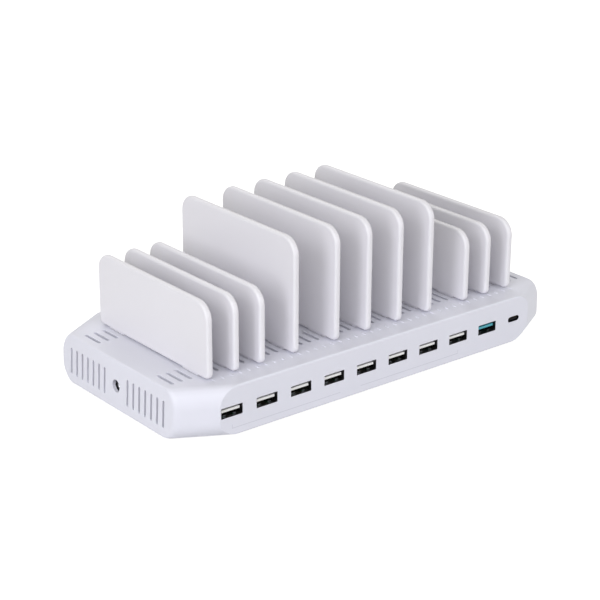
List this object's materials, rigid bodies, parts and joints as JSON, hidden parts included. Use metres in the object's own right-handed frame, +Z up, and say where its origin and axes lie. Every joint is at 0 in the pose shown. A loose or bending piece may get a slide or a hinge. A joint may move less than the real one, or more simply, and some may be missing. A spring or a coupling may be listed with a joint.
{
  "type": "device charging station",
  "caption": "Low white charging station with a row of USB sockets along its front panel and upright divider plates that plug into slits in its deck and lift out.",
  "frame": {"origin": "on the table under the middle of the body, where the rubber feet rest", "axes": "+X along the row of ports from the power inlet end to the small socket, +Y from the port panel to the rear, +Z up"},
  "size_m": [0.2546, 0.125, 0.0908],
  "materials": {
    "white_housing": "smooth satin moulding with soft reflections",
    "white_divider": "smooth satin moulding",
    "white_cover": "fine matt texture",
    "socket_steel": "bright plated sheet",
    "screw_steel": "zinc plated",
    "white_insulator": "plain moulding",
    "teal_insulator": "plain moulding",
    "black_plastic": "plain moulding",
    "green_board": "solder mask over fibreglass",
    "dark_ferrite": "pressed powder",
    "can_aluminium": "bright drawn can",
    "fin_aluminium": "extruded",
    "grey_rubber": "matt"
  },
  "bodies": {
    "station": {"top_housing": "white_housing", "bottom_cover": "white_cover", "main_board": "green_board", "usb_a_shell_1": "socket_steel", "usb_a_shell_2": "socket_steel", "usb_a_shell_3": "socket_steel", "usb_a_shell_4": "socket_steel", "usb_a_shell_5": "socket_steel", "usb_a_shell_6": "socket_steel", "usb_a_shell_7": "socket_steel", "usb_a_shell_8": "socket_steel", "usb_a_shell_9": "socket_steel", "usb_a_tongue_1": "white_insulator", "usb_a_tongue_2": "white_insulator", "usb_a_tongue_3": "white_insulator", "usb_a_tongue_4": "white_insulator", "usb_a_tongue_5": "white_insulator", "usb_a_tongue_6": "white_insulator", "usb_a_tongue_7": "white_insulator", "usb_a_tongue_8": "white_insulator", "usb_a_tongue_9": "teal_insulator", "usb_c_shell": "socket_steel", "usb_c_tongue": "black_plastic", "usb_c_base": "black_plastic", "dc_jack": "black_plastic", "dc_jack_pin": "socket_steel", "power_inductor_1": "dark_ferrite", "power_inductor_2": "dark_ferrite", "power_inductor_3": "dark_ferrite", "power_inductor_4": "dark_ferrite", "control_chip_1": "black_plastic", "control_chip_2": "black_plastic", "control_chip_3": "black_plastic", "control_chip_4": "black_plastic", "filter_capacitor_1": "can_aluminium", "filter_capacitor_2": "can_aluminium", "heat_sink": "fin_aluminium", "board_screw_1": "screw_steel", "board_screw_2": "screw_steel", "board_screw_3": "screw_steel", "board_screw_4": "screw_steel", "cover_screw_1": "screw_steel", "cover_screw_2": "screw_steel", "cover_screw_3": "screw_steel", "cover_screw_4": "screw_steel", "foot_1": "grey_rubber", "foot_2": "grey_rubber", "foot_3": "grey_rubber", "foot_4": "grey_rubber"},
    "divider_1": {"divider_1": "white_divider"},
    "divider_2": {"divider_2": "white_divider"},
    "divider_3": {"divider_3": "white_divider"},
    "divider_4": {"divider_4": "white_divider"},
    "divider_5": {"divider_5": "white_divider"},
    "divider_6": {"divider_6": "white_divider"},
    "divider_7": {"divider_7": "white_divider"},
    "divider_8": {"divider_8": "white_divider"},
    "divider_9": {"divider_9": "white_divider"},
    "divider_10": {"divider_10": "white_divider"},
    "divider_11": {"divider_11": "white_divider"}
  },
  "joints": [
    {"name": "divider_1_lift", "type": "slide", "parent": "station", "child": "divider_1", "axis": [0, 0, 1], "range_m": [0, 0.04]},
    {"name": "divider_2_lift", "type": "slide", "parent": "station", "child": "divider_2", "axis": [0, 0, 1], "range_m": [0, 0.04]},
    {"name": "divider_3_lift", "type": "slide", "parent": "station", "child": "divider_3", "axis": [0, 0, 1], "range_m": [0, 0.04]},
    {"name": "divider_4_lift", "type": "slide", "parent": "station", "child": "divider_4", "axis": [0, 0, 1], "range_m": [0, 0.04]},
    {"name": "divider_5_lift", "type": "slide", "parent": "station", "child": "divider_5", "axis": [0, 0, 1], "range_m": [0, 0.04]},
    {"name": "divider_6_lift", "type": "slide", "parent": "station", "child": "divider_6", "axis": [0, 0, 1], "range_m": [0, 0.04]},
    {"name": "divider_7_lift", "type": "slide", "parent": "station", "child": "divider_7", "axis": [0, 0, 1], "range_m": [0, 0.04]},
    {"name": "divider_8_lift", "type": "slide", "parent": "station", "child": "divider_8", "axis": [0, 0, 1], "range_m": [0, 0.04]},
    {"name": "divider_9_lift", "type": "slide", "parent": "station", "child": "divider_9", "axis": [0, 0, 1], "range_m": [0, 0.04]},
    {"name": "divider_10_lift", "type": "slide", "parent": "station", "child": "divider_10", "axis": [0, 0, 1], "range_m": [0, 0.04]},
    {"name": "divider_11_lift", "type": "slide", "parent": "station", "child": "divider_11", "axis": [0, 0, 1], "range_m": [0, 0.04]}
  ]
}
